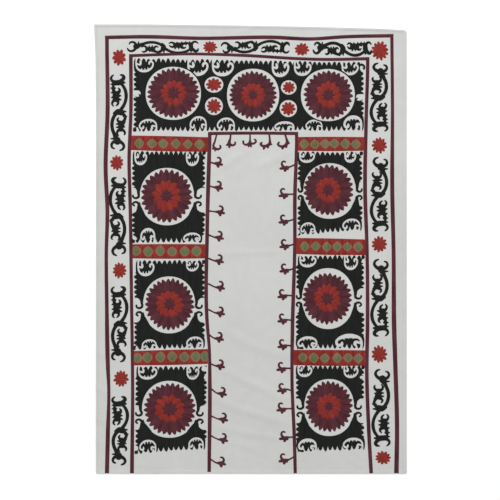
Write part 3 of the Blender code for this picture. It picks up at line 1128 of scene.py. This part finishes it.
def cut_lines(size, low_hem, high_hem):
    """Where the lines of the cloth's mesh run across one of its ways: close together on the hems."""
    low = [-size / 2, -size / 2 + low_hem / 2, -size / 2 + low_hem]
    high = [size / 2 - high_hem, size / 2 - high_hem / 2, size / 2]
    start = low[-1] + HEM_SLOPE
    end = high[0] - HEM_SLOPE
    count = round((end - start) / CLOTH_SQUARE)
    return low + [start + (end - start) * k / count for k in range(count + 1)] + high


class SHEET_OT_ground_cloth(bpy.types.Operator):
    """Make the ground cloth with its turned hem and soft folds"""

    bl_idname = "sheet.make_ground_cloth"
    bl_label = "Ground cloth"

    def execute(self, context):
        cloth = context.scene.sheet_cloth
        columns = cut_lines(cloth.width, cloth.other_hem, cloth.right_hem)
        rows = cut_lines(cloth.length, cloth.other_hem, cloth.other_hem)
        bpy.ops.object.select_all(action="DESELECT")
        bpy.ops.mesh.primitive_grid_add(
            x_subdivisions=len(columns) - 1, y_subdivisions=len(rows) - 1, size=1.0, location=(0, 0, 0)
        )
        piece = context.active_object
        piece.name = "cotton_cloth"
        mesh = piece.data
        mesh.name = "cotton_cloth"
        flat = []
        thickness = piece.vertex_groups.new(name="thickness")
        for vert in mesh.vertices:
            x = columns[round((vert.co.x + 0.5) * (len(columns) - 1))]
            y = rows[round((vert.co.y + 0.5) * (len(rows) - 1))]
            flat.append((x, y))
            thickness.add([vert.index], cloth_thickness(cloth, x, y) / cloth.hem_thickness, "REPLACE")
            laid_x, laid_y = to_outline(cloth, x, y)
            vert.co = (laid_x, laid_y, sheet_height(laid_x, laid_y))
        mesh.uv_layers[0].name = "flat"
        for loop in mesh.loops:
            mesh.uv_layers["flat"].data[loop.index].uv = flat[loop.vertex_index]
        solidify = piece.modifiers.new("thickness", "SOLIDIFY")
        solidify.thickness = cloth.hem_thickness
        solidify.offset = 1.0
        solidify.vertex_group = thickness.name
        solidify.thickness_vertex_group = 0.0
        bpy.ops.object.modifier_apply(modifier=solidify.name)
        bpy.ops.object.shade_smooth_by_angle(angle=math.radians(50))
        mesh.materials.clear()
        mesh.materials.append(cotton_material(cloth))
        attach(piece, "root")
        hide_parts("ground_cloth")
        return {"FINISHED"}


class SHEET_OT_worked_lines(bpy.types.Operator):
    """Work the maroon lines that frame the border and the plain centre"""

    bl_idname = "sheet.work_lines"
    bl_label = "Worked lines"

    def execute(self, context):
        shapes = []
        for stations in LINES_UP:
            path = [(middle, along, width) for along, middle, width in stations]
            shapes.append(Shape(stroke(path, 5.0, blunt=True), "maroon", grain_up))
        for stations in LINES_ACROSS:
            shapes.append(Shape(stroke(stations, 5.0, blunt=True), "maroon", grain_across))
        stitch(context.scene, [shapes], {"maroon": "worked_lines"})
        return {"FINISHED"}


class SHEET_OT_border_stars(bpy.types.Operator):
    """Work the red stars between the scrolls"""

    bl_idname = "sheet.work_border_stars"
    bl_label = "Border stars"

    def execute(self, context):
        rng = random.Random(11)
        groups = []
        for star in BORDER_STARS:
            x, y, half_width, half_height, points = star
            outline = lobed(x, y, half_width, half_height, 0.66, points, rng, 1.9, 0.08)
            groups.append([Shape(outline, "red", grain_round(x, y, 25.0))])
        stitch(context.scene, groups, {"red": "border_stars"})
        return {"FINISHED"}


def place_scroll(placed):
    """A scroll's strokes, scaled, mirrored, turned and put in their place."""
    grow = placed.half_length / SCROLL_HALF_LENGTH
    turn = math.radians(placed.turn)
    shapes = []
    for stations in SCROLL_STROKES:
        path = []
        for x, y, width in stations:
            x *= placed.across
            y *= grow
            path.append((
                placed.x + x * math.cos(turn) - y * math.sin(turn),
                placed.y + x * math.sin(turn) + y * math.cos(turn),
                width * min(1.0, 0.06 + abs(placed.across)),
            ))
        grain = grain_across if placed.turn % 180 == 0 else grain_up
        shapes.append(Shape(stroke(path, 3.5), "black", grain))
    return shapes


class SHEET_OT_border_scrolls(bpy.types.Operator):
    """Work the black scrolls of the border"""

    bl_idname = "sheet.work_border_scrolls"
    bl_label = "Border scrolls"

    def execute(self, context):
        stitch(context.scene, [place_scroll(placed) for placed in SCROLLS], {"black": "border_scrolls"})
        return {"FINISHED"}


def reserved_curl(curl, edge, way):
    """The bare lines of a curl at a field's edge. way is 1 at the lower edge and -1 at the upper."""
    rim = min(curl.rim, 0.5 * (curl.rim + 9.0))
    across = curl.half_width - rim * 0.375
    deep = curl.depth - curl.rim * 0.5

    def placed(stations, size):
        return [
            (curl.x + way * p * across, edge + way * q * deep, max(3.5, width * size))
            for p, q, width in stations
        ]

    start = placed(CURL_MOUTH, rim) if curl.mouth else placed(CURL_CLOSED, rim)
    if curl.mouth:
        x, y, _ = start[0]
        start[0] = (x - way * curl.mouth * 0.25, y, curl.mouth)
    paths = [start + placed(CURL_RIM, rim)]
    paths += [placed(stations, rim) for stations in CURL_INSIDE]
    if curl.rim > rim:
        paths.append(placed(CURL_CROWN, curl.rim))
    return [Shape(stroke(path, 3.0), None, grain_up) for path in paths]


def corner_arm(curl, edge, way, field_side, mouth_side):
    """The thin black arm round a curl at a field's corner, and the bare corner beyond it."""
    toward = way if mouth_side else -way

    def placed(across, q):
        return curl.x + toward * across, edge + way * q * curl.depth

    outer = toward * (field_side - curl.x)
    wide = curl.half_width
    bare = [
        placed(wide, -0.25), placed(outer + 8, -0.25), placed(outer + 8, 0.80),
        placed(outer - 3, 0.90), placed(wide + ARM_WIDTH * 0.5, 0.62),
    ]
    middle = wide + ARM_WIDTH * 0.35
    tip = [(*placed(middle - 7, -0.02), 5)] if mouth_side else [(*placed(wide * 0.5, 0.06), 11)]
    turn = placed(middle - 1, 0.14) if mouth_side else placed(middle - 9, 0.08)
    arm = tip + [(*turn, 7), (*placed(middle, 0.34), ARM_WIDTH), (*placed(middle, 0.58), ARM_WIDTH * 1.1)]
    arm += [(*placed(middle * 0.90, 0.86), ARM_WIDTH * 1.5), (*placed(middle * 0.5, 1.10), 16)]
    return [Shape(bare, None, grain_up), Shape(stroke(arm, 3.5), "black", grain_up)]


def ring_reserve(rosette):
    """The bare round in a field that a rosette stands in, with a black line left round it."""
    x, y, wide, high = rosette.ring_x, rosette.ring_y, rosette.ring_width, rosette.ring_height
    return [
        Shape(ellipse(x, y, wide + 6, high + 6, 4.5, RING_SQUARENESS), "black", grain_up),
        Shape(ellipse(x, y, wide, high, 4.5, RING_SQUARENESS), None, grain_up),
    ]


class SHEET_OT_top_field(bpy.types.Operator):
    """Work the long black field across the closed end"""

    bl_idname = "sheet.work_top_field"
    bl_label = "Top field"

    def execute(self, context):
        rng = random.Random(23)
        left, right = -537, 523
        bottom, rise = 540, 4
        top, fall = 879, 19
        corners = ((left, bottom), (right, bottom + rise), (right, top - fall), (left, top))
        field = toothed_field(corners, (22, 14, 20, 14), (22.5, 23, 22.5, 23), rng)
        shapes = [Shape(field, "black", grain_up)]
        shapes += [Shape(stroke(bite), None, grain_up) for bite in TOP_BITES]
        shapes += [Shape(stroke(hook, 3.0), "black", grain_up) for hook in TOP_HOOKS]
        upper = [(curl, top - fall * (curl.x - left) / (right - left), -1) for curl in TOP_CURLS]
        lower = [(curl, bottom + rise * (curl.x - left) / (right - left), 1) for curl in LOWER_CURLS]
        shapes += corner_arm(*upper[0], left, True) + corner_arm(*lower[-1], right, True)
        for curl, edge, way in upper + lower:
            shapes += reserved_curl(curl, edge, way)
        for rosette in TOP_ROSETTES:
            shapes += ring_reserve(rosette)
        for star in MEDALLIONS:
            bare = ellipse(star.x, star.y, star.half_width, star.half_height)
            shapes.append(Shape(bare, None, grain_up))
        stitch(context.scene, [shapes], {"black": "top_field"})
        return {"FINISHED"}


def parting(cell, side):
    """The bare gap that parts a cell's halves on one side, with the hooked arms that meet in it."""
    rosette = cell.rosette
    edge = cell.right if side > 0 else cell.left
    middle = cell.gap

    def ring_at(y):
        share = min(1.0, abs(y - rosette.ring_y) / rosette.ring_height)
        out = (1.0 - share**RING_SQUARENESS) ** (1 / RING_SQUARENESS)
        return rosette.ring_x + side * rosette.ring_width * out

    ring = ring_at(middle)
    room = abs(edge - ring)
    half = [
        (edge + side * 24, 58), (edge, 57), (edge - side * room * 0.45, 54), (ring + side * 15, 43),
        (ring + side * 12, 26), (ring + side * 4, 11), (ring - side * 14, 9),
    ]
    notch = [(x, middle + away) for x, away in half] + [(x, middle - away) for x, away in reversed(half)]
    shapes = [Shape(smooth(notch, True, 4.0), None, grain_up)]
    radius = min(12.0, (room - 12.0) / 2)
    for up in (1, -1):
        far = middle + up * 66
        near = middle + up * 32
        arm = [
            (ring_at(far) + side * 9.2, far, 18),
            (ring_at(near) + side * 6, near, 12),
            (ring + side * 5, middle + up * 21, 11),
            (ring + side * (6 + radius * 0.45), middle + up * 11, 11),
            (ring + side * (6 + radius * 1.1), middle + up * 9, 10),
            (ring + side * (6 + radius * 1.9), middle + up * 12, 9),
            (ring + side * (6 + radius * 2.2), middle + up * 20, 9),
            (ring + side * (6 + radius * (1.9 + 0.3 * up)), middle + up * (24 - 2 * up), 8),
        ]
        shapes.append(Shape(stroke(arm, 3.0), "black", grain_up))
    return shapes


class SHEET_OT_side_fields(bpy.types.Operator):
    """Work the six black fields down the sides"""

    bl_idname = "sheet.work_side_fields"
    bl_label = "Side fields"

    def execute(self, context):
        rng = random.Random(37)
        groups = []
        for cell in CELLS:
            corners = (
                (cell.left, cell.bottom), (cell.right, cell.bottom + cell.rise),
                (cell.right, cell.top), (cell.left, cell.top),
            )
            field = toothed_field(corners, (22, 14, 19, 14), (23, 23.5, 22.5, 23.5), rng)
            shapes = [Shape(field, "black", grain_up)]
            shapes += [Shape(stroke(bite), None, grain_up) for bite in cell.bites]
            upper = [(curl, cell.top, -1) for curl in cell.upper_curls]
            slope = cell.rise / (cell.right - cell.left)
            lower = [(curl, cell.bottom + (curl.x - cell.left) * slope, 1) for curl in cell.lower_curls]
            shapes += corner_arm(*upper[0], cell.left, True) + corner_arm(*lower[-1], cell.right, True)
            if lower[0][0].x - lower[0][0].half_width - cell.left < 13:
                shapes += corner_arm(*lower[0], cell.left, False)
            for curl, edge, way in upper + lower:
                shapes += reserved_curl(curl, edge, way)
            shapes += ring_reserve(cell.rosette) + parting(cell, -1) + parting(cell, 1)
            groups.append(shapes)
        stitch(context.scene, groups, {"black": "side_fields"})
        return {"FINISHED"}


class SHEET_OT_rosettes(bpy.types.Operator):
    """Work the nine rosettes: a toothed maroon round, a red flower in it and a maroon heart"""

    bl_idname = "sheet.work_rosettes"
    bl_label = "Rosettes"

    def execute(self, context):
        rng = random.Random(53)
        groups = []
        for rosette in TOP_ROSETTES + tuple(cell.rosette for cell in CELLS):
            x, y = rosette.x, rosette.y
            inner_x = min(rosette.reach + 2, rosette.ring_width - 4)
            inner_y = min(rosette.reach + 4, rosette.ring_height - 4)
            grain = grain_round(x, y, 70.0)
            teeth = lobed(x, y, inner_x, inner_y, 0.855, rng.choice((27, 28, 29)), rng, 1.5, 0.03)
            points = rng.choice((12, 13, 14))
            flower = lobed(x, y, rosette.red_width, rosette.red_height, 0.78, points, rng, 1.4, 0.10)
            heart = lobed(x, y, rosette.heart, rosette.heart, 0.62, 8, rng, 1.6, 0.08)
            layers = ((teeth, "maroon"), (flower, "red"), (heart, "maroon"))
            groups.append([Shape(outline, thread, grain) for outline, thread in layers])
        stitch(context.scene, groups, {"maroon": "rosette_rounds", "red": "rosette_flowers"})
        return {"FINISHED"}


class SHEET_OT_medallion_stars(bpy.types.Operator):
    """Work the four red stars between the top rosettes"""

    bl_idname = "sheet.work_medallion_stars"
    bl_label = "Medallion stars"

    def execute(self, context):
        rng = random.Random(71)
        groups = []
        for star in MEDALLIONS:
            reach_x = star.half_width - 6
            reach_y = star.half_height - 5.5
            outline = lobed(star.x, star.y, reach_x, reach_y, 0.66, star.points, rng, 1.9, 0.06)
            groups.append([Shape(outline, "red", grain_round(star.x, star.y, 22.0))])
        stitch(context.scene, groups, {"red": "medallion_stars"})
        return {"FINISHED"}


class SHEET_OT_strips(bpy.types.Operator):
    """Work the red strips between the fields, with their rows of green ovals outlined in tan"""

    bl_idname = "sheet.work_strips"
    bl_label = "Strips"

    def execute(self, context):
        rng = random.Random(89)
        groups = []
        for strip in STRIPS:
            mid_x = (strip.left + strip.right) / 2
            mid_low = (strip.left_low + strip.right_low) / 2 - 2
            mid_high = (strip.left_high + strip.right_high) / 2 + 1
            low = [(strip.left, strip.left_low), (mid_x, mid_low), (strip.right, strip.right_low)]
            high = [(strip.right, strip.right_high), (mid_x, mid_high), (strip.left, strip.left_high)]
            shapes = [Shape(smooth(low, False, 6.0) + smooth(high, False, 6.0), "red", grain_up)]
            slope = (strip.right_high - strip.left_high) / (strip.right - strip.left)
            for x in strip.ovals:
                middle = (strip.left_low + strip.left_high) / 2
                y = middle + (x - strip.left) * slope + rng.uniform(-2.0, 2.0)
                wide = rng.uniform(22.5, 24.5) if strip.left > 0 else rng.uniform(22.5, 25.0)
                tall = min((strip.left_high - strip.left_low) / 2 - 4, rng.uniform(22.5, 25.5))
                core = wide - (10.0 if strip.left > 0 else 9.0)
                for thread, across, up in (("tan", wide, tall), ("green", core, tall - 8.0)):
                    outline = ellipse(x, y, across, up, 3.8, strip.roundness)
                    outline = [(min(max(px, strip.left + 2), strip.right - 2), py) for px, py in outline]
                    shapes.append(Shape(outline, thread, grain_up))
            groups.append(shapes)
        pieces = {"red": "strips", "tan": "strip_oval_rims", "green": "strip_ovals"}
        stitch(context.scene, groups, pieces)
        return {"FINISHED"}


class SHEET_OT_hook_flowers(bpy.types.Operator):
    """Work the small maroon flowers that grow from the worked lines into the plain centre"""

    bl_idname = "sheet.work_hook_flowers"
    bl_label = "Hook flowers"

    def execute(self, context):
        groups = []
        for flowers, head in ((LEFT_FLOWERS, LEFT_HEAD), (RIGHT_FLOWERS, RIGHT_HEAD)):
            for flower in flowers:
                paths = [[(flower.x + x, flower.y + y, width) for x, y, width in part] for part in head]
                paths[0].insert(0, (flower.stem_x, flower.stem_y, 8))
                groups.append([Shape(stroke(path, 2.8), "maroon", grain_across) for path in paths])
        for paths in TOP_FLOWERS:
            groups.append([Shape(stroke(path, 2.8), "maroon", grain_up) for path in paths])
        stitch(context.scene, groups, {"maroon": "hook_flowers"})
        return {"FINISHED"}


# The studio, in metres
FLOOR_SIZE = 30.0
FLOOR_DROP = 0.0005
LAMP_SIZE = 3.0
LAMP_PLACE = (-2.4, 7.4, 5.8)
CAMERA_PLACE = (-0.00115, -0.0046)


class SHEET_OT_studio(bpy.types.Operator):
    """Set up the plain floor, the soft light and the camera that looks straight down"""

    bl_idname = "sheet.set_up_studio"
    bl_label = "Studio"

    def execute(self, context):
        scene = context.scene
        studio = scene.sheet_studio
        bpy.ops.object.select_all(action="DESELECT")
        bpy.ops.mesh.primitive_plane_add(size=FLOOR_SIZE, location=(0.0, 0.0, -FLOOR_DROP))
        floor = context.active_object
        floor.name = "studio_floor"
        bpy.ops.object.transform_apply(location=True, rotation=True, scale=True)
        material, tree, shader = new_material("studio_floor")
        place = add_node(tree, "ShaderNodeTexCoord").outputs["Object"]
        colour = tuple(studio.floor)
        clouds = noise(tree, place, 1.5, 2.0)
        paint = mix_colours(tree, clouds, scaled(colour, 0.995), scaled(colour, 1.0))
        tree.links.new(paint, shader.inputs["Base Color"])
        shader.inputs["Roughness"].default_value = 0.85
        shader.inputs["Specular IOR Level"].default_value = 0.1
        floor.data.materials.append(material)

        lamp_data = bpy.data.lights.new("soft_lamp", "AREA")
        lamp_data.shape = "DISK"
        lamp_data.size = LAMP_SIZE
        lamp_data.energy = studio.lamp
        lamp = bpy.data.objects.new("soft_lamp", lamp_data)
        lamp.location = LAMP_PLACE
        lamp.rotation_euler = (-Vector(LAMP_PLACE)).to_track_quat("-Z", "Y").to_euler()
        scene.collection.objects.link(lamp)

        world = bpy.data.worlds.new("studio_light")
        world.use_nodes = True
        background = world.node_tree.nodes["Background"]
        background.inputs["Color"].default_value = (1.0, 1.0, 1.0, 1.0)
        background.inputs["Strength"].default_value = studio.sky
        scene.world = world
        scene.view_settings.view_transform = "Standard"

        camera_data = bpy.data.cameras.new("camera")
        camera_data.lens = 85.0
        camera_data.sensor_width = 36.0
        camera_data.clip_end = 100.0
        camera = bpy.data.objects.new("camera", camera_data)
        camera.location = (*CAMERA_PLACE, studio.height)
        scene.collection.objects.link(camera)
        scene.camera = camera
        return {"FINISHED"}


class SHEET_PT_panel(bpy.types.Panel):
    """The steps that make the sheet"""

    bl_idname = "SHEET_PT_panel"
    bl_label = "Embroidered sheet"
    bl_space_type = "VIEW_3D"
    bl_region_type = "UI"
    bl_category = "Sheet"

    def draw(self, context):
        for operator in OPERATORS:
            self.layout.operator(operator.bl_idname)


PROPERTY_GROUPS = {"sheet_cloth": SheetCloth, "sheet_threads": SheetThreads, "sheet_studio": SheetStudio}
OPERATORS = (
    SHEET_OT_ground_cloth,
    SHEET_OT_worked_lines,
    SHEET_OT_border_stars,
    SHEET_OT_border_scrolls,
    SHEET_OT_top_field,
    SHEET_OT_side_fields,
    SHEET_OT_rosettes,
    SHEET_OT_medallion_stars,
    SHEET_OT_strips,
    SHEET_OT_hook_flowers,
    SHEET_OT_studio,
)


def register():
    for name, group in PROPERTY_GROUPS.items():
        bpy.utils.register_class(group)
        setattr(bpy.types.Scene, name, PointerProperty(type=group))
    for cls in (*OPERATORS, SHEET_PT_panel):
        bpy.utils.register_class(cls)


def unregister():
    for cls in (SHEET_PT_panel, *reversed(OPERATORS)):
        bpy.utils.unregister_class(cls)
    for name, group in PROPERTY_GROUPS.items():
        delattr(bpy.types.Scene, name)
        bpy.utils.unregister_class(group)


def main():
    register()
    bpy.ops.sheet.make_ground_cloth()
    bpy.ops.sheet.work_lines()
    bpy.ops.sheet.work_border_stars()
    bpy.ops.sheet.work_border_scrolls()
    bpy.ops.sheet.work_top_field()
    bpy.ops.sheet.work_side_fields()
    bpy.ops.sheet.work_rosettes()
    bpy.ops.sheet.work_medallion_stars()
    bpy.ops.sheet.work_strips()
    bpy.ops.sheet.work_hook_flowers()
    bpy.ops.sheet.set_up_studio()


if __name__ == "__main__":
    main()
